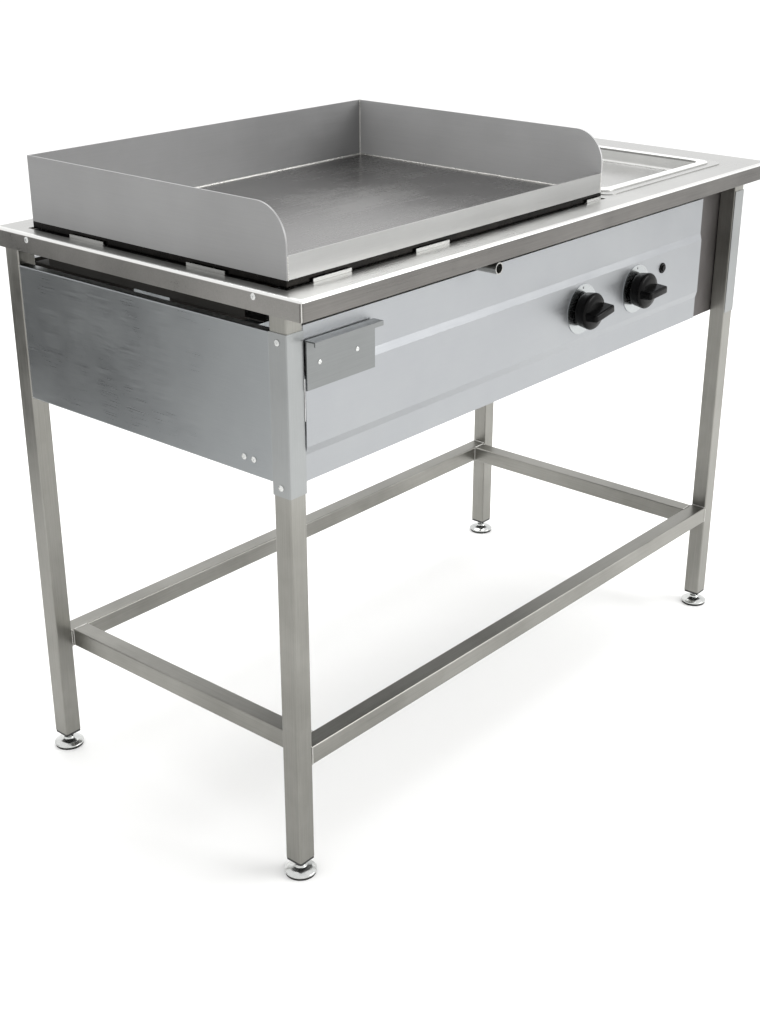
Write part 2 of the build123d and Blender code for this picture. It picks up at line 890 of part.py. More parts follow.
def cross_channels():
    """Two upward-open channels between the side panels, under the burners."""
    pieces = []
    x0 = left + panel_sheet
    x1 = right - panel_sheet
    sheet = channel_sheet
    for y0 in (channel_front, channel_rear_face - channel_depth):
        y1 = y0 + channel_depth
        low = channel_bottom
        high = channel_bottom + channel_height
        outer = block(x0, x1, y0, y1, low, high)
        hollow = block(x0 + sheet, x1 - sheet, y0 + sheet, y1 - sheet, low + sheet, high + 1)
        pieces.append(outer - hollow - side_screws)
    return group(pieces)


def burner_brackets():
    """Upright plates in the channels around the burners and the manifold, and the electrode's plate."""
    pieces = []
    front_y = channel_front + channel_depth - channel_sheet - cradle_sheet / 2
    rear_y = channel_rear_face - channel_depth / 2
    for x in burner_places:
        pieces.append(cradle(x, front_y, burner_height, burner_radius))
        pieces.append(cradle(x, rear_y, burner_height, burner_radius))
    pieces.append(cradle(inlet_x, rear_y, knob_height, manifold_radius))
    pieces.append(manifold_holder(knob_places[0] - holder_from_tap))
    pieces.append(manifold_holder(sum(knob_places) / 2))
    pieces.append(electrode_plate())
    return group(pieces)


def cradle(x, y, level, radius):
    """An upright plate across the stand, on a channel's floor and around one pipe."""
    half = cradle_width / 2
    y0 = y - cradle_sheet / 2
    floor = channel_bottom + channel_sheet
    plate = block(x - half, x + half, y0, y0 + cradle_sheet, floor, level + radius + cradle_rise)
    return plate - rod((x, y - channel_depth, level), BACK, radius + cradle_clearance, 2 * channel_depth)


def manifold_holder(x):
    """An upright plate between the front channel's two sides and around the manifold."""
    x0 = x - cradle_sheet / 2
    y0 = channel_front + channel_sheet
    y1 = channel_front + channel_depth - channel_sheet
    floor = channel_bottom + channel_sheet
    plate = block(x0, x0 + cradle_sheet, y0, y1, floor, knob_height + manifold_radius + cradle_rise)
    start = (x - channel_depth, manifold_from_front, knob_height)
    return plate - rod(start, RIGHT, manifold_radius + cradle_clearance, 2 * channel_depth)


# ---- igniter ----
def igniter_body():
    """The piezo body behind the panel with the bezel in front, bored for the button."""
    seat = band_front
    bezel = rod((igniter_x, seat, igniter_height), FRONT, bezel_radius, bezel_depth)
    body = rod((igniter_x, seat, igniter_height), BACK, igniter_body_radius, igniter_body_length)
    depth = bezel_depth + button_travel + button_guide + button_well_spare
    mouth = (igniter_x, seat - bezel_depth, igniter_height)
    well = rod(mouth, BACK, button_radius + running_gap, depth)
    return bezel + body - well


def igniter_button():
    start = (igniter_x, band_front - button_depth, igniter_height)
    button = rod(start, BACK, button_radius, button_depth + button_guide)
    return fillet(button.faces().sort_by(Axis.Y)[0].edges(), button_edge)


def electrode():
    """A ceramic rod with a steel tip beside the right burner."""
    base = electrode_base()
    ceramic = rod(base, UP, electrode_radius, electrode_length)
    tip_base = (base[0], base[1], base[2] + electrode_length)
    arm = rod(tip_base, UP, electrode_tip_radius, electrode_tip_length)
    return ceramic + arm


def electrode_base():
    behind = channel_front + channel_depth + electrode_behind
    return (burner_places[1] + electrode_offset, behind, burner_height - electrode_drop)


def electrode_plate():
    """A small shelf on the right burner's front plate, with a hole that holds the electrode."""
    base = electrode_base()
    x0 = burner_places[1] + electrode_plate_start
    y0 = channel_front + channel_depth - channel_sheet
    top = burner_height - electrode_plate_drop
    edge = electrode_plate_edge
    shelf = block(x0, base[0] + edge, y0, base[1] + edge, top - cradle_sheet, top)
    return shelf - rod(base, UP, electrode_radius, electrode_length)


def ignition_lead():
    """The insulated lead from the piezo body to the electrode's foot."""
    end = electrode_base()
    start_y = band_front + igniter_body_length
    low = end[2] - lead_sag
    points = [
        (igniter_x, start_y, igniter_height),
        (igniter_x, start_y + lead_straight, igniter_height),
        (igniter_x - lead_aside, end[1], low),
        (end[0], end[1], low),
        end,
    ]
    return bent_rod(points, lead_radius, lead_bend)


os.makedirs("parts", exist_ok=True)
for name, x, y in leg_corners():
    save(leg(x, y), "leg_" + name)
    save(foot(x, y), "foot_" + name)
    save(foot_pad(x, y), "foot_pad_" + name)
save(group([leg_plug(x, y) for name, x, y in leg_corners()]), "leg_plugs")

rail_middle = rail_bottom + rail_height / 2
upper_middle = under_top - upper_rail / 2
for end, y in (("front", leg_side / 2), ("rear", rear - leg_side / 2)):
    save(cross_rail(y, rail_middle, rail_height, leg_side), "lower_rail_" + end)
    save(cross_rail(y, upper_middle, upper_rail, upper_rail), "upper_rail_" + end)
rail_inset = leg_side / 2 + leg_in + side_rail_inset
save(side_rail(left + rail_inset), "lower_rail_left")
save(side_rail(right - rail_inset), "lower_rail_right")

save(worktop(), "worktop")
save(side_tray(), "side_tray")
save(stiffener(griddle_left - stiffener_offset, stiffener_width), "stiffener_left")
save(stiffener(griddle_right + opening_gap + stiffener_offset, stiffener_width), "stiffener_middle")

save(griddle_plate(), "griddle_plate")
save(side_wall(griddle_left), "griddle_wall_left")
save(side_wall(griddle_right - wall_thickness), "griddle_wall_right")
save(cross_wall(griddle_rear - wall_thickness, wall_height), "griddle_wall_rear")
save(cross_wall(griddle_front, lip_height), "griddle_front_lip")
save(lugs(), "plate_lugs")
save(drain_spout(), "drain_spout")

save(front_panel(), "front_panel")
save(recess_panel(), "recess_panel")
save(side_panel(left, "+x"), "side_panel_left")
save(side_panel(right, "-x"), "side_panel_right")
save(rear_panel(), "rear_panel")
save(corner_cover("left"), "corner_cover_left")
save(corner_cover("right"), "corner_cover_right")
save(hook_bracket(), "hook_bracket")
save(hook_rivets(), "hook_rivets")
save(group(side_screws), "screws")

save(index_plates(), "index_plates")
save(gas_manifold(), "gas_manifold")
save(supply_pipes(), "supply_pipes")
for side, x in zip(("left", "right"), knob_places):
    save(knob(x), "knob_" + side)
    save(spindle(x), "spindle_" + side)
    save(tap_plug(x), "tap_plug_" + side)
    save(tap(x), "gas_tap_" + side)
for side, x in zip(("left", "right"), burner_places):
    save(burner(x), "burner_" + side)
save(injectors(), "injectors")
save(cross_channels(), "cross_channels")
save(burner_brackets(), "burner_brackets")

save(igniter_body(), "igniter_body")
save(igniter_button(), "igniter_button")
save(electrode(), "electrode")
save(ignition_lead(), "ignition_lead")
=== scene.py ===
import json
import math
import bpy
import bmesh
from mathutils import Matrix, Vector


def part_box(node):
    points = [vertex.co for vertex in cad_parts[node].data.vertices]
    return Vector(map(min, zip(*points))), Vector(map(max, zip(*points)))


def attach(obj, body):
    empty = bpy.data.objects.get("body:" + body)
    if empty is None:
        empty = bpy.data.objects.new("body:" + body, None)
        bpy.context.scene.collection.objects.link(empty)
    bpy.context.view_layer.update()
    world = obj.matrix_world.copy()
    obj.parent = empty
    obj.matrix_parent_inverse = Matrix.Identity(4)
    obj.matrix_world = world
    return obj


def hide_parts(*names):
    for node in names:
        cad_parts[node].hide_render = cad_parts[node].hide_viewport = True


# A free-standing gas flat top griddle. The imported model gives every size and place, in metres.
# Sheets, tubes and gas parts keep their modelled solids and get their finishes here. Knobs, feet,
# fastener heads, weld beads, threads and the small marks are made here in finer detail.

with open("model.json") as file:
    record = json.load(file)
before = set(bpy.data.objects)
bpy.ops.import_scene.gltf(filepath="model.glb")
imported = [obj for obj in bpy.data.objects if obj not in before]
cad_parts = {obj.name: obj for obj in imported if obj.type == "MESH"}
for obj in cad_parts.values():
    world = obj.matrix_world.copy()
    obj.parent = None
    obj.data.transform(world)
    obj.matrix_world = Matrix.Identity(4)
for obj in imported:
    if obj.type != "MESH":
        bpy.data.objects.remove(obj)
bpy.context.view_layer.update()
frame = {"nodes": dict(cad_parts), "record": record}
MM = 0.001


# ---------------------------------------------------------------- places
def low(name):
    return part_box(name)[0]


def high(name):
    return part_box(name)[1]


# ---------------------------------------------------------------- finishes
def linear(code):
    """A colour code such as #8c8b86 as the linear colour that the shader needs."""
    parts = [int(code[i:i + 2], 16) / 255 for i in (1, 3, 5)]
    return [c / 12.92 if c <= 0.04045 else ((c + 0.055) / 1.055) ** 2.4 for c in parts] + [1.0]


def add(tree, kind, links=(), **settings):
    """Adds a node, gives it its settings and socket values, and links its inputs."""
    made = tree.nodes.new(kind)
    for key, value in settings.items():
        setattr(made, key, value)
    for socket, value in dict(links).items():
        if isinstance(value, bpy.types.NodeSocket):
            tree.links.new(value, made.inputs[socket])
        else:
            made.inputs[socket].default_value = value
    return made


def start(name, metallic, roughness, **sockets):
    """A new material with its shader, the surface coordinates and constant values set on the shader."""
    made = bpy.data.materials.new(name)
    made.use_nodes = True
    tree = made.node_tree
    shader = tree.nodes["Principled BSDF"]
    shader.inputs["Metallic"].default_value = metallic
    shader.inputs["Roughness"].default_value = roughness
    for socket, value in sockets.items():
        shader.inputs[socket.replace("_", " ")].default_value = value
    place = add(tree, "ShaderNodeTexCoord").outputs["Object"]
    return made, tree, shader, place


def noise(tree, place, size_mm, stretch=(1, 1, 1), detail=3.0, rough=0.55):
    """Cloudy noise whose features are about size_mm wide, longer along an axis whose stretch is above 1."""
    scale = [1 / (size_mm * MM * s) for s in stretch]
    laid = add(tree, "ShaderNodeMapping", {"Vector": place, "Scale": scale})
    made = add(tree, "ShaderNodeTexNoise", {
        "Vector": laid.outputs[0], "Scale": 1.0, "Detail": detail, "Roughness": rough})
    return made.outputs["Fac"]


def spread(tree, value, low_in, high_in, low_out, high_out):
    """A value stretched from one range to another and kept inside it."""
    return add(tree, "ShaderNodeMapRange", {
        0: value, 1: low_in, 2: high_in, 3: low_out, 4: high_out}, clamp=True).outputs[0]


def blend_colours(tree, share, first, second):
    """Two colours mixed by a share."""
    made = add(tree, "ShaderNodeMix", data_type="RGBA")
    tree.links.new(share, made.inputs[0])
    for index, colour in ((6, first), (7, second)):
        if isinstance(colour, bpy.types.NodeSocket):
            tree.links.new(colour, made.inputs[index])
        else:
            made.inputs[index].default_value = colour
    return made.outputs[2]


def multiply(tree, first, second):
    return add(tree, "ShaderNodeMath", {0: first, 1: second}, operation="MULTIPLY").outputs[0]


def plus(tree, first, second):
    return add(tree, "ShaderNodeMath", {0: first, 1: second}, operation="ADD").outputs[0]


def relief(tree, shader, height, strength, depth_mm):
    """Fine relief from a height value."""
    made = add(tree, "ShaderNodeBump", {"Height": height, "Strength": strength, "Distance": depth_mm * MM})
    tree.links.new(made.outputs[0], shader.inputs["Normal"])


# How much longer than wide a belt line is, along each axis, and the usual width of a wipe mark in mm.
AXES = {"x": (60, 1, 1), "y": (1, 60, 1), "z": (1, 1, 60)}
WIPE_SIZE = 160
# Painted shade: the dark colour given to the hidden inner side of a sheet.
INNER_FACE_PAINTED_SHADE = "#2e2c2a"


def belt_lines(tree, place, along, grain_mm):
    """The belt's parallel lines, from 0 to 1. They are 0.1 to 0.3 mm apart, drawn as wide as grain_mm
    so that they show."""
    return spread(tree, noise(tree, place, grain_mm, AXES[along], 2.0, 0.7), 0.3, 0.7, 0.0, 1.0)


def wipe_clouds(tree, place, size_mm):
    """The cloudy marks of wiping, from 0 to 1."""
    return spread(tree, noise(tree, place, size_mm, (1, 1, 1), 4.0, 0.6), 0.35, 0.65, 0.0, 1.0)


def belt_tone(tree, lines, clouds, line_share):
    """How pale the ground surface is at a point, from its lines and its clouds."""
    return plus(tree, multiply(tree, lines, line_share), multiply(tree, clouds, 1 - line_share))


def brushed(name, pale, dark, roughness, along, grain_mm=1.6, worn=0.10, metallic=1.0, inner=None,
            lines_deep=0.12):
    """Stainless steel ground with a belt along one axis: fine parallel lines and cloudy wipe marks.
    inner is the way that a panel's hidden side faces; that side is made duller and painted dark as painted
    shade."""
    made, tree, shader, place = start(name, metallic, roughness)
    fine = belt_lines(tree, place, along, grain_mm)
    cloudy = wipe_clouds(tree, place, WIPE_SIZE)
    tone = belt_tone(tree, fine, cloudy, 0.4)
    colour = blend_colours(tree, tone, linear(dark), linear(pale))
    rough = spread(tree, fine, 0, 1, roughness - 0.04, roughness + 0.05)
    rough = plus(tree, rough, multiply(tree, cloudy, worn))
    if inner is not None:
        # Painted shade: faces turned to the inner side are blended to the dark inner colour and made duller.
        way = add(tree, "ShaderNodeNewGeometry").outputs["Normal"]
        facing_in = add(tree, "ShaderNodeVectorMath", {0: way, 1: inner}, operation="DOT_PRODUCT")
        hidden = spread(tree, facing_in.outputs["Value"], 0.3, 0.5, 0.0, 1.0)
        colour = blend_colours(tree, hidden, colour, linear(INNER_FACE_PAINTED_SHADE))
        rough = plus(tree, rough, multiply(tree, hidden, 0.25))
    tree.links.new(colour, shader.inputs["Base Color"])
    tree.links.new(rough, shader.inputs["Roughness"])
    relief(tree, shader, fine, lines_deep, 0.03)
    return made


# Stainless square tube, belt ground along its length: a warm mid grey with a soft sheen.
upright_tube = brushed("stainless_tube_upright", "#969590", "#7c7b76", 0.32, "z")
level_tube = brushed("stainless_tube_level", "#979691", "#7d7c77", 0.32, "x")
deep_tube = brushed("stainless_tube_deep", "#979691", "#7c7b76", 0.32, "y")
# Folded side and back sheet, ground lengthways: a cool smooth grey with wide soft reflections.
left_sheet = brushed(
    "stainless_left_sheet", "#959899", "#8b8e90", 0.30, "y", 1.0, 0.05, inner=(1, 0, 0), lines_deep=0.03)
right_sheet = brushed(
    "stainless_right_sheet", "#959899", "#8b8e90", 0.30, "y", 1.0, 0.05, inner=(-1, 0, 0), lines_deep=0.03)
back_sheet = brushed("stainless_back_sheet", "#95989a", "#86898b", 0.33, "x", 1.2, 0.06, inner=(0, -1, 0))
# Front sheet with a fine matt roll finish: pale, faintly blue, almost even.
front_sheet = brushed("stainless_front_sheet", "#9c9ea0", "#949699", 0.36, "x", 1.0, 0.04, inner=(0, 1, 0))
# Corner covers, ground upright: pale, with a soft upright shine.
cover_sheet = brushed("stainless_cover_sheet", "#999b9b", "#8a8c8c", 0.34, "z", 1.2, 0.05)
# The set-back filler: a dull brown-grey sheet, painted darker as painted shade for its recess.
recess_painted_shade = brushed("stainless_recess_painted_shade", "#6a6766", "#595655", 0.42, "z", inner=(0, 1, 0))
# Splash walls, ground matt after welding, so they look nearly even from any side. The haze of the
# ground surface is drawn as a metallic value well under 1.
# Painted light and shade: the same sheet is painted darker on the left wall, paler on the right wall and
# darkest on the rear wall.
wall_sheet = brushed("stainless_left_wall_painted_shade", "#919191", "#878787", 0.46, "y", 1.6, 0.05, 0.3)
right_wall_painted_light = brushed("stainless_right_wall_painted_light", "#adadad", "#a1a1a1", 0.46, "y", 1.6, 0.05, 0.3)
rear_wall_painted_shade = brushed("stainless_rear_wall_painted_shade", "#868686", "#7c7c7c", 0.44, "x", 1.6, 0.05, 0.45)
# Low front lip: the same sheet, painted brighter as painted light.
lip_painted_light = brushed("stainless_lip_painted_light", "#a2a2a1", "#989897", 0.34, "x", 1.6, 0.05)
# Lugs, bracket and spout, as bent and cut: bright lugs and tube, a greyer bracket.
lug_sheet = brushed("stainless_lug", "#b4b4b2", "#939391", 0.36, "x")
bracket_sheet = brushed("stainless_bracket", "#828484", "#747676", 0.33, "x")
spout_tube = brushed("stainless_spout", "#b0b0ad", "#8e8e8b", 0.26, "y")
# Channels under the worktop in mill finish: dull, and painted dark as painted shade for the gap they sit in.
channel_painted_shade = brushed("mill_finish_channel_painted_shade", "#3a3937", "#282725", 0.5, "y", 2.0, 0.1)
# Index plates behind the knobs, satin polished: pale with a sharp shine.
index_disc = brushed("satin_index_disc", "#a8abac", "#9a9d9e", 0.22, "x", 0.8, 0.03)
# Heat-tinted burner tube: straw and brown clouds over steel.
burner_tube = brushed("heat_tinted_burner_tube", "#948674", "#625548", 0.42, "y", 2.0, 0.12)


def inside(tree, value, first, last):
    """1 where a value lies between two limits, otherwise 0."""
    above = add(tree, "ShaderNodeMath", {0: value, 1: first}, operation="GREATER_THAN").outputs[0]
    below = add(tree, "ShaderNodeMath", {0: value, 1: last}, operation="LESS_THAN").outputs[0]
    return multiply(tree, above, below)


# How far in from each edge the painted highlight along the fold of the top reaches.
FOLD_HIGHLIGHT_REACH = 5 * MM


def worktop_steel():
    """Belt-ground worktop: a pale top, a skirt painted darker as painted shade and darkest in front, a
    painted highlight along the fold between them, and black under the top, a sound-deadening paint that also
    stands in as painted shade for the gap below it."""
    made, tree, shader, place = start("belt_ground_worktop_painted_light", 1.0, 0.3)
    a, b = low("worktop"), high("worktop")
    parts = add(tree, "ShaderNodeSeparateXYZ", {0: place}).outputs
    on_top = spread(tree, parts[2], b[2] - 4.2 * MM, b[2] - 3.4 * MM, 0.0, 1.0)
    flat = multiply(tree, inside(tree, parts[0], a[0] + FOLD_HIGHLIGHT_REACH, b[0] - FOLD_HIGHLIGHT_REACH),
                    inside(tree, parts[1], a[1] + FOLD_HIGHLIGHT_REACH, b[1] - FOLD_HIGHLIGHT_REACH))
    way = add(tree, "ShaderNodeNewGeometry").outputs["Normal"]
    upward = add(tree, "ShaderNodeSeparateXYZ", {0: way}).outputs[2]
    downward = spread(tree, upward, -0.5, -0.3, 1.0, 0.0)
    # Black under the top: sound-deadening paint that is also painted shade for the gap below it.
    painted = multiply(tree, downward, inside(tree, parts[2], a[2] + 2 * MM, b[2]))
    in_front = inside(tree, parts[1], a[1] - 1 * MM, a[1] + 4 * MM)
    lines = belt_lines(tree, place, "x", 1.8)
    clouds = wipe_clouds(tree, place, 190)
    tone = belt_tone(tree, lines, clouds, 0.4)
    top = blend_colours(tree, tone, linear("#a9a9a7"), linear("#b9b9b7"))
    # Painted shade: the side skirt and, darker still, the front skirt are shaded copies of the top's steel.
    side_skirt_painted_shade = blend_colours(tree, tone, linear("#7c7b78"), linear("#92908d"))
    front_skirt_painted_shade = blend_colours(tree, tone, linear("#5e5c5a"), linear("#767471"))
    skirt = blend_colours(tree, in_front, side_skirt_painted_shade, front_skirt_painted_shade)
    # Painted highlight: a near-white band where the top folds down into the skirt.
    fold_painted_highlight = blend_colours(tree, flat, linear("#dededc"), top)
    steel = blend_colours(tree, on_top, skirt, fold_painted_highlight)
    tree.links.new(blend_colours(tree, painted, steel, linear("#1b1b1a")), shader.inputs["Base Color"])
    rough = plus(tree, spread(tree, lines, 0, 1, 0.25, 0.32), multiply(tree, clouds, 0.07))
    tree.links.new(plus(tree, rough, multiply(tree, painted, 0.4)), shader.inputs["Roughness"])
    relief(tree, shader, lines, 0.16, 0.04)
    return made


def pan_steel():
    """Pressed pan: a painted highlight on the bead's crest and on the walls, and duller flats."""
    made, tree, shader, place = start("pressed_pan_painted_highlight", 0.4, 0.2)
    a, b = low("side_tray"), high("side_tray")
    height = add(tree, "ShaderNodeSeparateXYZ", {0: place}).outputs[2]
    # Painted highlight: the bead's crest and the walls get a near-white copy of the steel; the flats stay
    # duller.
    crest = spread(tree, height, b[2] - 1.5 * MM, b[2] - 0.4 * MM, 0.0, 1.0)
    wall = inside(tree, height, a[2] + 3 * MM, b[2] - 4 * MM)
    painted_highlight_mask = add(tree, "ShaderNodeMath", {0: crest, 1: wall}, operation="MAXIMUM").outputs[0]
    lines = belt_lines(tree, place, "y", 2.2)
    clouds = wipe_clouds(tree, place, 140)
    tone = belt_tone(tree, lines, clouds, 0.3)
    flat = blend_colours(tree, tone, linear("#8c8c8a"), linear("#9f9f9d"))
    bright = blend_colours(tree, tone, linear("#d4d4d2"), linear("#e4e4e2"))
    tree.links.new(blend_colours(tree, painted_highlight_mask, flat, bright), shader.inputs["Base Color"])
    rough = plus(tree, spread(tree, lines, 0, 1, 0.17, 0.21), multiply(tree, clouds, 0.05))
    tree.links.new(rough, shader.inputs["Roughness"])
    relief(tree, shader, lines, 0.06, 0.03)
    return made


def cooking_steel():
    """Ground carbon steel plate: a soft shine with grinding lines, grey heat clouds and black edges."""
    made, tree, shader, place = start("ground_cooking_steel", 1.0, 0.25)
    a, b = low("griddle_plate"), high("griddle_plate")
    parts = add(tree, "ShaderNodeSeparateXYZ", {0: place}).outputs
    within = multiply(tree, inside(tree, parts[0], a[0] + 1 * MM, b[0] - 1 * MM),
                      inside(tree, parts[1], a[1] + 1 * MM, b[1] - 1 * MM))
    ground_part = multiply(tree, within, inside(tree, parts[2], a[2] + 1 * MM, b[2] + 1 * MM))
    lines = belt_lines(tree, place, "x", 2.6)
    clouds = spread(tree, noise(tree, place, 120, (1.4, 1, 1), 5.0, 0.6), 0.35, 0.68, 0.0, 1.0)
    swirls = spread(tree, noise(tree, place, 14, (1, 1, 1), 3.0, 0.6), 0.4, 0.7, 0.0, 1.0)
    tone = belt_tone(tree, lines, clouds, 0.3)
    ground = blend_colours(tree, tone, linear("#727170"), linear("#848382"))
    scale = blend_colours(tree, swirls, linear("#121110"), linear("#1d1b19"))
    tree.links.new(blend_colours(tree, ground_part, scale, ground), shader.inputs["Base Color"])
    rough = plus(tree, spread(tree, lines, 0, 1, 0.20, 0.25), multiply(tree, clouds, 0.07))
    rough = plus(tree, rough, multiply(tree, swirls, 0.02))
    tree.links.new(rough, shader.inputs["Roughness"])
    relief(tree, shader, plus(tree, lines, multiply(tree, swirls, 0.3)), 0.12, 0.04)
    return made


def grained(name, first, second, metallic, roughness, grain_mm, strength, depth_mm, vary=0.08, **sockets):
    """A plain surface with its own grain: two tones in clouds, a fine grain in roughness and relief."""
    made, tree, shader, place = start(name, metallic, roughness, **sockets)
    grain = spread(tree, noise(tree, place, grain_mm, (1, 1, 1), 2.0, 0.6), 0.3, 0.7, 0.0, 1.0)
    clouds = spread(tree, noise(tree, place, grain_mm * 18, (1, 1, 1), 4.0, 0.6), 0.3, 0.7, 0.0, 1.0)
    tree.links.new(blend_colours(tree, clouds, linear(first), linear(second)), shader.inputs["Base Color"])
    rough = plus(tree, multiply(tree, grain, vary * 0.5), multiply(tree, clouds, vary))
    tree.links.new(plus(tree, rough, roughness - vary * 0.6), shader.inputs["Roughness"])
    relief(tree, shader, grain, strength, depth_mm)
    return made


top_steel = worktop_steel()
plate_steel = cooking_steel()
pan_sheet = pan_steel()
# Weld metal, polished with a brush: a little brighter than the sheet and rippled by its own shape.
weld_metal = grained("brushed_weld_metal", "#aeadaa", "#c6c5c1", 1.0, 0.28, 1.2, 0.3, 0.05)
# Zinc-plated fasteners and foot dishes: bright, smooth, slightly blue.
zinc = grained("bright_zinc_plate", "#d5d6d4", "#b6b8b7", 1.0, 0.22, 1.5, 0.12, 0.03)
# Galvanised channels and uprights: spangled dull grey.
galvanised = grained("galvanised_sheet", "#a5a9ab", "#8b9092", 0.9, 0.48, 6.0, 0.2, 0.04, 0.14)
# Black phenolic moulding: deep gloss with a very slight orange peel.
phenolic = grained(
    "black_phenolic", "#030303", "#060606", 0.0, 0.2, 1.4, 0.05, 0.02, 0.05, Specular_IOR_Level=0.1)
# Black polyamide plugs and igniter housing: matt with a moulding texture.
polyamide = grained("black_polyamide", "#141414", "#1c1c1b", 0.0, 0.5, 0.8, 0.25, 0.04)
# Moulded rubber under the feet: black and dry.
rubber = grained("black_rubber", "#171716", "#20201e", 0.0, 0.75, 0.9, 0.35, 0.05)
# Gas fittings: yellow turned brass and darkened copper tube.
brass = grained("turned_brass", "#c9a765", "#a98a4c", 1.0, 0.3, 1.6, 0.15, 0.04)
copper = grained("drawn_copper_tube", "#b9805c", "#94613f", 1.0, 0.34, 1.6, 0.12, 0.04)
# Welded steel pipe: dark, with a rough scale.
black_pipe = grained("welded_steel_pipe", "#6a6761", "#514f4a", 0.85, 0.46, 1.8, 0.25, 0.05, 0.12)
# Electrode and its lead: shiny off-white glaze, dull off-white silicone.
ceramic = grained("glazed_ceramic", "#ece9e1", "#dcd8cd", 0.0, 0.2, 1.5, 0.06, 0.02, Coat_Weight=0.4)
silicone = grained("silicone_jacket", "#bdb9ae", "#a9a498", 0.0, 0.6, 0.8, 0.2, 0.03)
# Marks etched into the index plates: mid grey and dull.
mark_ink = grained("etched_mark", "#77797a", "#66686a", 0.2, 0.5, 0.6, 0.1, 0.02)

FINISHES = {
    "worktop": top_steel, "griddle_plate": plate_steel, "griddle_wall_left": wall_sheet,
    "griddle_wall_right": right_wall_painted_light, "griddle_wall_rear": rear_wall_painted_shade,
    "griddle_front_lip": lip_painted_light,
    "plate_lugs": lug_sheet, "side_tray": pan_sheet, "stiffener_left": channel_painted_shade,
    "stiffener_middle": channel_painted_shade, "drain_spout": spout_tube, "front_panel": front_sheet,
    "recess_panel": recess_painted_shade, "side_panel_left": left_sheet, "side_panel_right": right_sheet,
    "rear_panel": back_sheet, "corner_cover_left": cover_sheet, "corner_cover_right": cover_sheet,
    "hook_bracket": bracket_sheet, "hook_rivets": zinc, "screws": zinc, "index_plates": index_disc,
    "gas_manifold": black_pipe, "supply_pipes": copper, "injectors": brass, "cross_channels": galvanised,
    "burner_brackets": galvanised, "igniter_body": polyamide, "igniter_button": phenolic,
    "electrode": ceramic, "ignition_lead": silicone, "leg_plugs": polyamide,
}
STARTS = (
    ("leg_", upright_tube), ("foot_pad_", rubber), ("foot_", zinc), ("lower_rail_front", level_tube),
    ("lower_rail_rear", level_tube), ("lower_rail_", deep_tube), ("upper_rail_", level_tube),
    ("knob_", phenolic), ("spindle_", zinc), ("tap_plug_", brass), ("gas_tap_", brass),
    ("burner_", burner_tube),
)


def finish_of(node):
    """The finish of a node, by its whole name or else by how its name starts."""
    if node in FINISHES:
        return FINISHES[node]
    return next(finish for first, finish in STARTS if node.startswith(first))


for name, thing in frame["nodes"].items():
    thing.data.materials.clear()
    thing.data.materials.append(finish_of(name))


# ---------------------------------------------------------------- making pieces
def body_of(node):
    """The body that a node rides on."""
    return next(body for body, nodes in frame["record"]["behaviour"]["bodies"].items() if node in nodes)


def piece(name, mesh, body, finish=None, smooth_below=35):
    """Names a finished mesh as a piece on a body."""
    made = bpy.data.objects.new(name, mesh)
    bpy.context.scene.collection.objects.link(made)
    if finish is not None:
        mesh.materials.clear()
        mesh.materials.append(finish)
    for face in mesh.polygons:
        face.use_smooth = True
    mesh.set_sharp_from_angle(angle=math.radians(smooth_below))
    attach(made, body)
    return made


def turned(profile, steps=72):
    """A turned shape: a profile of (radius, height) pairs swept round Z and closed at its poles."""
    shape = bmesh.new()
    rings = []
    for radius, height in profile:
        if radius < 1e-7:
            rings.append([shape.verts.new((0, 0, height))])
        else:
            turn = [2 * math.pi * i / steps for i in range(steps)]
            rings.append([
                shape.verts.new((radius * math.cos(a), radius * math.sin(a), height)) for a in turn])
    for lower, upper in zip(rings, rings[1:]):
        for i in range(steps):
            j = (i + 1) % steps
            corners = [
                lower[i % len(lower)], lower[j % len(lower)], upper[j % len(upper)], upper[i % len(upper)]]
            shape.faces.new(list(dict.fromkeys(corners)))
    bmesh.ops.recalc_face_normals(shape, faces=shape.faces)
    return shape


def rounded(profile, radius, steps=5):
    """Rounds the inner corners of a profile with small arcs."""
    result = [profile[0]]
    for before, here, after in zip(profile, profile[1:], profile[2:]):
        corner = Vector(here)
        back, ahead = Vector(before) - corner, Vector(after) - corner
        reach = min(radius, back.length * 0.45, ahead.length * 0.45)
        start_point, end_point = corner + back.normalized() * reach, corner + ahead.normalized() * reach
        for i in range(steps + 1):
            t = i / steps
            result.append(tuple(start_point * (1 - t) ** 2 + corner * 2 * t * (1 - t) + end_point * t * t))
    return result + [profile[-1]]


def to_mesh(shape, name, place=Matrix()):
    made = bpy.data.meshes.new(name)
    shape.transform(place)
    shape.to_mesh(made)
    shape.free()
    return made


def facing(direction, at):
    """The place that turns +Z to a direction and moves it to a point."""
    return Matrix.Translation(at) @ Vector(direction).to_track_quat("Z", "Y").to_matrix().to_4x4()


def bar(size, centre, bevel, segments):
    """A bar with rounded edges."""
    shape = bmesh.new()
    bmesh.ops.create_cube(shape, size=1.0)
    bmesh.ops.scale(shape, vec=size, verts=shape.verts)
    bmesh.ops.bevel(shape, geom=shape.edges[:], offset=bevel, segments=segments, profile=0.6, affect="EDGES")
    bmesh.ops.translate(shape, vec=centre, verts=shape.verts)
    return shape


def joined(shapes):
    """Several shapes as one."""
    whole = bmesh.new()
    for shape in shapes:
        part = bpy.data.meshes.new("part")
        shape.to_mesh(part)
        shape.free()
        whole.from_mesh(part)
        bpy.data.meshes.remove(part)
    return whole


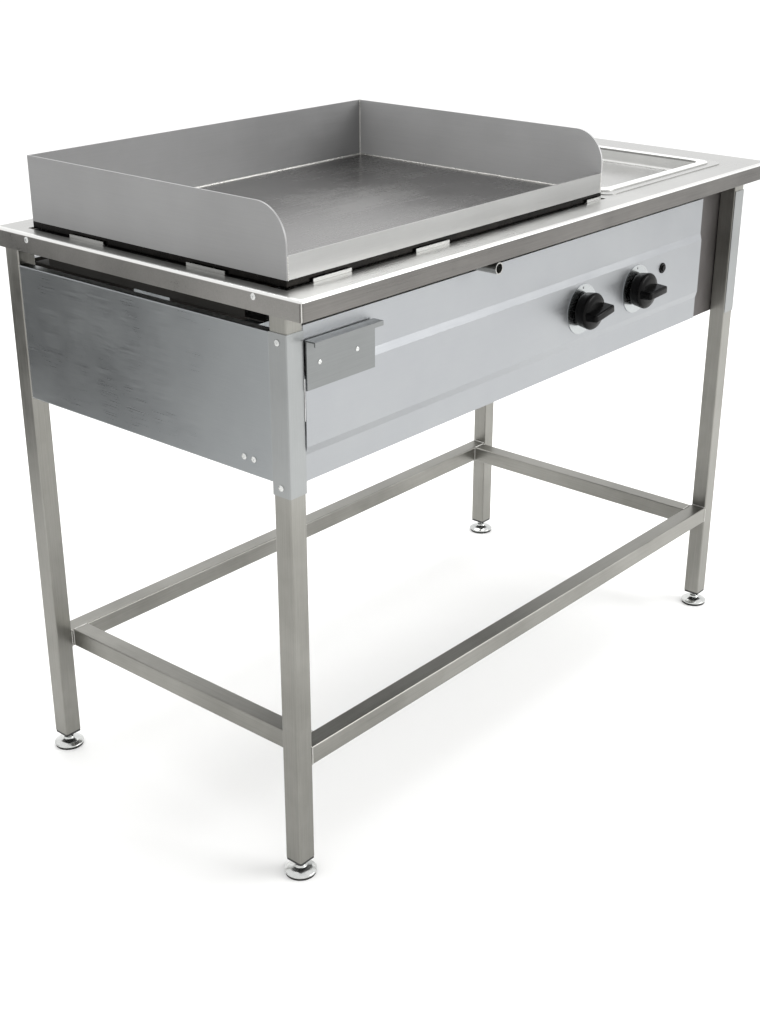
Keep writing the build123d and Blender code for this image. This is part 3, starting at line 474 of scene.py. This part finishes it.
# ---------------------------------------------------------------- repeated shapes by rule
def rule_tree(name, inputs):
    """An empty rule with named inputs. Returns the tree, its input node and its output node."""
    tree = bpy.data.node_groups.new(name, "GeometryNodeTree")
    tree.interface.new_socket("Geometry", in_out="OUTPUT", socket_type="NodeSocketGeometry")
    for label, kind in inputs:
        tree.interface.new_socket(label, in_out="INPUT", socket_type="NodeSocket" + kind)
    return tree, tree.nodes.new("NodeGroupInput"), tree.nodes.new("NodeGroupOutput")


def finish_rule(tree, given, result, shapes):
    """Ends a rule: its instances become real and take the metal that the rule is given."""
    real = add(tree, "GeometryNodeRealizeInstances", {0: shapes})
    painted = add(tree, "GeometryNodeSetMaterial", {0: real.outputs[0], "Material": given.outputs["Metal"]})
    tree.links.new(painted.outputs[0], result.inputs[0])
    return tree


def run_rule(tree, values, mesh=None):
    """Evaluates a rule with its values once and returns the plain mesh it makes."""
    holder = bpy.data.objects.new("holder", mesh or bpy.data.meshes.new("holder"))
    bpy.context.scene.collection.objects.link(holder)
    modifier = holder.modifiers.new("rule", "NODES")
    modifier.node_group = tree
    for item in tree.interface.items_tree:
        if item.item_type == "SOCKET" and item.in_out == "INPUT" and item.name in values:
            modifier[item.identifier] = values[item.name]
    evaluated = holder.evaluated_get(bpy.context.evaluated_depsgraph_get())
    made = bpy.data.meshes.new_from_object(evaluated)
    bpy.data.objects.remove(holder)
    return made


def bead_rule():
    """A weld bead: overlapping drops in a row along X, each a little different in size."""
    tree, given, result = rule_tree("weld_bead", [
        ("Length", "Float"), ("Pitch", "Float"), ("Radius", "Float"), ("Seed", "Int"), ("Metal", "Material")])
    count = add(tree, "ShaderNodeMath", {
        0: given.outputs["Length"], 1: given.outputs["Pitch"]}, operation="DIVIDE")
    step = add(tree, "ShaderNodeCombineXYZ", {0: given.outputs["Pitch"]})
    row = add(tree, "GeometryNodeMeshLine", {"Count": count.outputs[0], "Offset": step.outputs[0]})
    drop = add(tree, "GeometryNodeMeshIcoSphere", {"Radius": given.outputs["Radius"], "Subdivisions": 2})
    size = add(tree, "FunctionNodeRandomValue", {"Seed": given.outputs["Seed"]}, data_type="FLOAT_VECTOR")
    size.inputs[0].default_value = (1.25, 0.85, 0.85)
    size.inputs[1].default_value = (1.45, 1.08, 1.08)
    laid = add(tree, "GeometryNodeInstanceOnPoints", {
        "Points": row.outputs[0], "Instance": drop.outputs[0], "Scale": size.outputs[0]})
    return finish_rule(tree, given, result, laid.outputs[0])


def thread_rule():
    """A screw thread: a ridge wound round Z at its pitch."""
    tree, given, result = rule_tree("screw_thread", [
        ("Radius", "Float"), ("Pitch", "Float"), ("Length", "Float"), ("Ridge", "Float"),
        ("Metal", "Material")])
    turns = add(tree, "ShaderNodeMath", {
        0: given.outputs["Length"], 1: given.outputs["Pitch"]}, operation="DIVIDE")
    helix = add(tree, "GeometryNodeCurveSpiral", {
        "Resolution": 28, "Rotations": turns.outputs[0], "Start Radius": given.outputs["Radius"],
        "End Radius": given.outputs["Radius"], "Height": given.outputs["Length"]})
    ridge = add(tree, "GeometryNodeCurvePrimitiveCircle", {"Resolution": 6, "Radius": given.outputs["Ridge"]})
    wound = add(tree, "GeometryNodeCurveToMesh", {
        "Curve": helix.outputs[0], "Profile Curve": ridge.outputs[0], "Fill Caps": True})
    return finish_rule(tree, given, result, wound.outputs[0])


def heads_rule():
    """Fastener heads: one head set on every point and turned to the way that point faces."""
    tree, given, result = rule_tree("fastener_heads", [
        ("Points", "Geometry"), ("Head", "Object"), ("Metal", "Material"), ("Seed", "Int")])
    way = add(tree, "GeometryNodeInputNamedAttribute", {"Name": "outward"}, data_type="FLOAT_VECTOR")
    turn = add(tree, "FunctionNodeAlignRotationToVector", {"Vector": way.outputs[0]}, axis="Z")
    spin = add(tree, "FunctionNodeRandomValue", {
        2: 0.0, 3: 6.28, "Seed": given.outputs["Seed"]}, data_type="FLOAT")
    twist = add(tree, "FunctionNodeAxisAngleToRotation", {"Axis": (0, 0, 1), "Angle": spin.outputs[1]})
    whole = add(tree, "FunctionNodeRotateRotation", {
        0: turn.outputs[0], 1: twist.outputs[0]}, rotation_space="LOCAL")
    head = add(tree, "GeometryNodeObjectInfo", {"Object": given.outputs["Head"]})
    laid = add(tree, "GeometryNodeInstanceOnPoints", {
        "Points": given.outputs["Points"], "Instance": head.outputs["Geometry"],
        "Rotation": whole.outputs[0]})
    return finish_rule(tree, given, result, laid.outputs[0])


bead_tree = bead_rule()
thread_tree = thread_rule()
heads_tree = heads_rule()


def bead(begin, end, radius, seed):
    """One weld bead between two points, as a shape."""
    begin, end = Vector(begin), Vector(end)
    values = {"Length": (end - begin).length + radius, "Pitch": radius * 1.1, "Radius": radius, "Seed": seed,
              "Metal": weld_metal}
    made = run_rule(bead_tree, values)
    shape = bmesh.new()
    shape.from_mesh(made)
    turn = (end - begin).to_track_quat("X", "Z").to_matrix().to_4x4()
    shape.transform(Matrix.Translation(begin) @ turn)
    bpy.data.meshes.remove(made)
    return shape


def thread(centre, direction, radius, pitch, length, ridge, metal):
    """A thread's ridge wound round a core that starts at centre and points in a direction."""
    values = {"Radius": radius, "Pitch": pitch, "Length": length, "Ridge": ridge, "Metal": metal}
    made = run_rule(thread_tree, values)
    shape = bmesh.new()
    shape.from_mesh(made)
    bmesh.ops.recalc_face_normals(shape, faces=shape.faces)
    shape.transform(facing(direction, centre))
    bpy.data.meshes.remove(made)
    return shape


# ---------------------------------------------------------------- weld beads
plate_high = high("griddle_plate")[2]
in_left, in_right = high("griddle_wall_left")[0], low("griddle_wall_right")[0]
in_front, in_rear = high("griddle_front_lip")[1], low("griddle_wall_rear")[1]
wall_high, lip_high = high("griddle_wall_rear")[2], high("griddle_front_lip")[2]
lip_face = low("griddle_front_lip")[1] + 0.6 * MM
BEAD_CREASE = 60


def bead_piece(name, shapes, node):
    """Several beads as one piece on the body of a node."""
    piece(name, to_mesh(joined(shapes), name), body_of(node), weld_metal, BEAD_CREASE)


seam = 2.2 * MM
inside_beads = [
    bead((in_left, in_front, plate_high), (in_left, in_rear, plate_high), seam, 1),
    bead((in_right, in_front, plate_high), (in_right, in_rear, plate_high), seam, 2),
    bead((in_left, in_rear, plate_high), (in_right, in_rear, plate_high), seam, 3),
    bead((in_left, in_front, plate_high), (in_right, in_front, plate_high), seam, 4),
]
# Upright beads in the four inner corners and on the lip's outer ends: depth, top, radius and seed.
corner_beads = []
for y, top, radius, seed in (
        (in_rear, wall_high - 2 * MM, 1.7 * MM, 5),
        (in_front, lip_high - 1 * MM, 2.4 * MM, 7),
        (lip_face, lip_high, 1.3 * MM, 9)):
    corner_beads.append(bead((in_left, y, plate_high), (in_left, y, top), radius, seed))
    corner_beads.append(bead((in_right, y, plate_high), (in_right, y, top), radius, seed + 1))
bead_piece("griddle_weld_beads", inside_beads, "griddle_plate")
bead_piece("griddle_corner_beads", corner_beads, "griddle_plate")

skirt_low, skirt_high = low("worktop")[2], high("worktop")[2] - 4 * MM
top_low, top_far = low("worktop"), high("worktop")
round_in = 1.0 * MM
skirt_beads = [
    bead((x, y, skirt_low + 1 * MM), (x, y, skirt_high), 0.9 * MM, seed)
    for x, y, seed in (
        (top_low[0] + round_in, top_low[1] + round_in, 11),
        (top_far[0] - round_in, top_low[1] + round_in, 12),
        (top_low[0] + round_in, top_far[1] - round_in, 13),
        (top_far[0] - round_in, top_far[1] - round_in, 14))
]
bead_piece("skirt_corner_beads", skirt_beads, "worktop")


def ring_of_beads(rail, across, seed):
    """Small beads round both ends of a rail where it meets its neighbours. across is its long axis."""
    a, b = Vector(low(rail)), Vector(high(rail))
    others = [i for i in range(3) if i != across]
    shapes = []
    inset = 2.5 * MM
    for end in (a[across], b[across]):
        for side, other in (others, others[::-1]):
            for edge in (a[side], b[side]):
                begin, finish = [0.0] * 3, [0.0] * 3
                begin[across] = finish[across] = end
                begin[side] = finish[side] = edge
                begin[other], finish[other] = a[other] + inset, b[other] - inset
                seed += 1
                shapes.append(bead(begin, finish, 1.1 * MM, seed))
    return shapes


rail_beads = []
for number, (rail, across) in enumerate((
        ("lower_rail_left", 1), ("lower_rail_right", 1), ("lower_rail_front", 0), ("lower_rail_rear", 0))):
    rail_beads += ring_of_beads(rail, across, 20 + 20 * number)
bead_piece("rail_weld_beads", rail_beads, "lower_rail_front")


# ---------------------------------------------------------------- fasteners
def pan_head(radius, height):
    """A pan head with a domed crown and a shallow cross recess pressed into it."""
    profile = rounded([
        (0, 0), (radius, 0), (radius, height * 0.32), (radius * 0.86, height * 0.62),
        (radius * 0.5, height * 0.95), (0, height)], radius * 0.12)
    shape = turned(profile, 40)
    for vertex in shape.verts:
        x, y = vertex.co.x / radius, vertex.co.y / radius
        across_slot = max(0.0, 1 - (min(abs(x), abs(y)) / 0.13) ** 2)
        along_slot = max(0.0, 1 - (max(abs(x), abs(y)) / 0.5) ** 4)
        if vertex.co.z > height * 0.5:
            vertex.co.z -= across_slot * along_slot * height * 0.2
    return to_mesh(shape, "pan_head")


def rivet_head(radius, height):
    """A domed blind rivet head with its small mandrel hole."""
    profile = rounded([
        (0, 0), (radius, 0), (radius, height * 0.25), (radius * 0.75, height * 0.8),
        (radius * 0.36, height), (radius * 0.3, height * 0.55), (0, height * 0.5)], radius * 0.1)
    return to_mesh(turned(profile, 40), "rivet_head")


def set_heads(name, points, head_mesh, node, seed):
    """Sets one head on each (place, outward) point, in place of a node's plain heads."""
    mesh = bpy.data.meshes.new(name)
    mesh.from_pydata([tuple(place) for place, outward in points], [], [])
    ways = mesh.attributes.new("outward", "FLOAT_VECTOR", "POINT")
    for item, (place, outward) in zip(ways.data, points):
        item.vector = outward
    head = bpy.data.objects.new("head", head_mesh)
    bpy.context.scene.collection.objects.link(head)
    made = run_rule(heads_tree, {"Head": head, "Metal": zinc, "Seed": seed}, mesh)
    bpy.data.objects.remove(head)
    made.name = name
    done = piece(name, made, body_of(node), None, 40)
    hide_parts(node)


def separate_solids(node):
    """The corner points of each separate solid of a node."""
    copy = bmesh.new()
    copy.from_mesh(frame["nodes"][node].data)
    bmesh.ops.remove_doubles(copy, verts=copy.verts, dist=1e-6)
    left_over, found = set(copy.verts), []
    while left_over:
        pile, group = [left_over.pop()], []
        while pile:
            vertex = pile.pop()
            group.append(vertex.co.copy())
            for edge in vertex.link_edges:
                other = edge.other_vert(vertex)
                if other in left_over:
                    left_over.discard(other)
                    pile.append(other)
        found.append(group)
    copy.free()
    return found


def head_points(node, axis):
    """Where a node's separate fasteners sit: the seat of each head and the way it faces."""
    points = []
    across = (axis + 1) % 3
    for group in separate_solids(node):
        lows = [min(v[i] for v in group) for i in range(3)]
        highs = [max(v[i] for v in group) for i in range(3)]
        centre = Vector([(a + b) / 2 for a, b in zip(lows, highs)])
        wide = max(highs[across] - lows[across], 1e-6) / 2
        head = [v for v in group if abs(v[across] - centre[across]) > wide * 0.95]
        sign = 1 if sum(v[axis] for v in head) / len(head) > centre[axis] else -1
        seat = min(v[axis] * sign for v in head) * sign
        outward = Vector([0.0] * 3)
        outward[axis] = sign
        centre[axis] = seat
        points.append((centre, outward))
    return points


set_heads("screw_heads", head_points("screws", 0), pan_head(4.5 * MM, 2.2 * MM), "screws", 3)
set_heads("rivet_heads", head_points("hook_rivets", 1), rivet_head(3.4 * MM, 1.2 * MM), "hook_rivets", 5)


# ---------------------------------------------------------------- levelling feet
STEM = 5.0 * MM
THREAD_CORE = STEM * 0.88
for corner in ("front_left", "front_right", "rear_left", "rear_right"):
    node = "foot_" + corner
    a, b = Vector(low(node)), Vector(high(node))
    centre = (a + b) / 2
    radius = (b.x - a.x) / 2
    neck = STEM * 1.8
    profile = rounded([
        (0, a.z), (radius, a.z), (radius, a.z + 2.4 * MM), (radius * 0.72, a.z + 6.4 * MM),
        (neck, a.z + 8.8 * MM), (neck * 0.96, a.z + 12.2 * MM), (THREAD_CORE, a.z + 12.4 * MM),
        (THREAD_CORE, b.z), (0, b.z)], 1.6 * MM)
    foot = turned(profile, 96)
    foot.transform(Matrix.Translation((centre.x, centre.y, 0)))
    ridges = thread(
        (centre.x, centre.y, a.z + 12.6 * MM), (0, 0, 1), THREAD_CORE, 1.5 * MM, 26 * MM, 0.55 * MM, zinc)
    name = node + "_turned"
    made = piece(name, to_mesh(joined([foot, ridges]), name), body_of(node), zinc, 40)
    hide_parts(node)

# ---------------------------------------------------------------- gas inlet thread
pipe_high = high("gas_manifold")
inlet = [v.co for v in frame["nodes"]["gas_manifold"].data.vertices if v.co.y > pipe_high[1] - 1 * MM]
inlet_x = (min(v.x for v in inlet) + max(v.x for v in inlet)) / 2
inlet_z = (min(v.z for v in inlet) + max(v.z for v in inlet)) / 2
winding = thread(
    (inlet_x, pipe_high[1] - 17 * MM, inlet_z), (0, 1, 0), 10.2 * MM, 1.8 * MM, 15.5 * MM, 0.28 * MM,
    black_pipe)
piece("inlet_thread", to_mesh(winding, "inlet_thread"), body_of("gas_manifold"), black_pipe, 40)


# ---------------------------------------------------------------- knobs, index marks and button
# How far each knob's grip is turned from level, in degrees, and where its grip starts above its base.
KNOB_TURN = {"left": 9.0, "right": 3.0}
GRIP_BASE = 12 * MM
GRIP_LONG, GRIP_WIDE = 54.6 * MM, 14.8 * MM
for side in ("left", "right"):
    node = "knob_" + side
    a, b = Vector(low(node)), Vector(high(node))
    centre = (a + b) / 2
    depth = b.y - a.y
    rim = 29.4 * MM
    profile = rounded([
        (0, 0.3 * MM), (26.6 * MM, 0.3 * MM), (27.4 * MM, 1.6 * MM), (28.4 * MM, 9.0 * MM),
        (rim, 15.5 * MM), (rim, 17.8 * MM), (27.2 * MM, 20.6 * MM), (20.0 * MM, 22.4 * MM),
        (10.0 * MM, 23.0 * MM), (0, 23.1 * MM)], 1.4 * MM)
    drum = turned(profile, 128)
    grip_size = (GRIP_LONG, GRIP_WIDE, depth - GRIP_BASE)
    grip = bar(grip_size, (0, 0, (GRIP_BASE + depth) / 2), 4.2 * MM, 6)
    for vertex in grip.verts:
        rise = (vertex.co.z - GRIP_BASE) / (depth - GRIP_BASE)
        vertex.co.y *= 1.0 - 0.16 * rise
        vertex.co.x *= 1.0 - 0.05 * rise * rise
        if vertex.co.z > depth * 0.6:
            vertex.co.z -= 2.2 * MM * (vertex.co.x / (27 * MM)) ** 2
    body = joined([drum, grip])
    place = facing((0, -1, 0), (centre.x, b.y, centre.z))
    spun = Matrix.Rotation(-math.radians(KNOB_TURN[side]), 4, (0, 1, 0))
    to_axis = Matrix.Translation((centre.x, 0, centre.z))
    about = to_axis @ spun @ to_axis.inverted()
    name = node + "_moulding"
    made = piece(name, to_mesh(body, name, about @ place), body_of(node), phenolic, 50)
    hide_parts(node)

    plate_face = low("index_plates")[1]
    mark = turned(rounded([(0, 0), (2.0 * MM, 0), (1.8 * MM, 0.25 * MM), (0, 0.3 * MM)], 0.1 * MM), 32)
    mark_place = facing((0, -1, 0), (centre.x, plate_face + 0.05 * MM, centre.z + 34.5 * MM))
    mark_name = "index_mark_" + side
    piece(mark_name, to_mesh(mark, mark_name, mark_place), body_of("index_plates"), mark_ink)

a, b = Vector(low("igniter_body")), Vector(high("igniter_body"))
bezel_x, bezel_z = (a.x + b.x) / 2, (a.z + b.z) / 2
collar = turned(rounded([
    (5.8 * MM, -0.2 * MM), (9.0 * MM, -0.2 * MM), (9.0 * MM, 1.0 * MM), (7.9 * MM, 2.3 * MM),
    (6.2 * MM, 2.3 * MM), (5.8 * MM, 1.8 * MM), (5.8 * MM, -0.2 * MM)], 0.4 * MM), 72)
collar_place = facing((0, -1, 0), (bezel_x, low("front_panel")[1], bezel_z))
piece("igniter_collar", to_mesh(collar, "igniter_collar", collar_place), body_of("igniter_body"), phenolic)


# ---------------------------------------------------------------- floor, light and camera
def flat_sheet(name, corners, paint_name, colour, **sockets):
    """A flat four-cornered sheet in one matt colour, for the stage."""
    mesh = bpy.data.meshes.new(name)
    mesh.from_pydata(corners, [], [(0, 1, 2, 3)])
    made = bpy.data.objects.new(name, mesh)
    bpy.context.scene.collection.objects.link(made)
    paint, tree, shader, place = start(paint_name, 0.0, 0.9, **sockets)
    shader.inputs["Base Color"].default_value = linear(colour)
    mesh.materials.append(paint)
    return made


REACH = 40.0
floor = flat_sheet("studio_floor", [
    (-REACH, -REACH, 0), (REACH, -REACH, 0), (REACH, REACH, 0), (-REACH, REACH, 0)],
    "pale_studio_floor", "#f4f4f3", Specular_IOR_Level=0.1)

# A dark screen beside the object, seen only in its shine, gives the left faces their depth.
SCREEN_X, SCREEN_NEAR, SCREEN_FAR, SCREEN_HIGH = -1.45, 0.85, 3.4, 0.6
screen = flat_sheet("dark_screen", [
    (SCREEN_X, SCREEN_NEAR, 0.0), (SCREEN_X, SCREEN_FAR, 0.0),
    (SCREEN_X, SCREEN_FAR, SCREEN_HIGH), (SCREEN_X, SCREEN_NEAR, SCREEN_HIGH)],
    "dark_screen_cloth", "#1c1c1c")
screen.visible_camera = False
screen.visible_diffuse = False
screen.visible_shadow = False

world = bpy.data.worlds.new("studio")
bpy.context.scene.world = world
world.use_nodes = True
world.node_tree.nodes["Background"].inputs["Color"].default_value = linear("#ffffff")
world.node_tree.nodes["Background"].inputs["Strength"].default_value = 1.2


def softbox(name, at, towards, size, power):
    """A soft rectangular lamp at a point, facing another, with its size in metres and power in watts."""
    lamp = bpy.data.lights.new(name, "AREA")
    lamp.shape = "RECTANGLE"
    lamp.size, lamp.size_y = size
    lamp.energy = power
    made = bpy.data.objects.new(name, lamp)
    made.location = at
    made.rotation_euler = (Vector(towards) - Vector(at)).to_track_quat("-Z", "Y").to_euler()
    made.visible_camera = False
    bpy.context.scene.collection.objects.link(made)


softbox("front_softbox", (1.8, -3.2, 2.2), (0.0, 0.0, 0.5), (2.4, 1.6), 90)
softbox("top_softbox", (0.6, 0.8, 3.4), (0.0, 0.0, 0.8), (2.6, 2.0), 60)

lens = bpy.data.cameras.new("camera")
camera = bpy.data.objects.new("camera", lens)
bpy.context.scene.collection.objects.link(camera)
# The camera looks from the front left and a little above: its bearing, height angle, lean and place.
around, above, lean = math.radians(-50.074), math.radians(23.978), math.radians(0.264)
CAMERA_AT = (-1.85148, -1.51224, 1.36693)
back = Vector((math.sin(around) * math.cos(above), -math.cos(around) * math.cos(above), math.sin(above)))
turn = (-back).to_track_quat("-Z", "Y").to_matrix().to_4x4()
camera.matrix_world = Matrix.Translation(CAMERA_AT) @ turn @ Matrix.Rotation(lean, 4, "Z")
lens.lens = 52.72
lens.sensor_width = 36.0
lens.shift_x = -0.0199
lens.shift_y = 0.0110
bpy.context.scene.camera = camera
bpy.context.scene.view_settings.view_transform = "Standard"
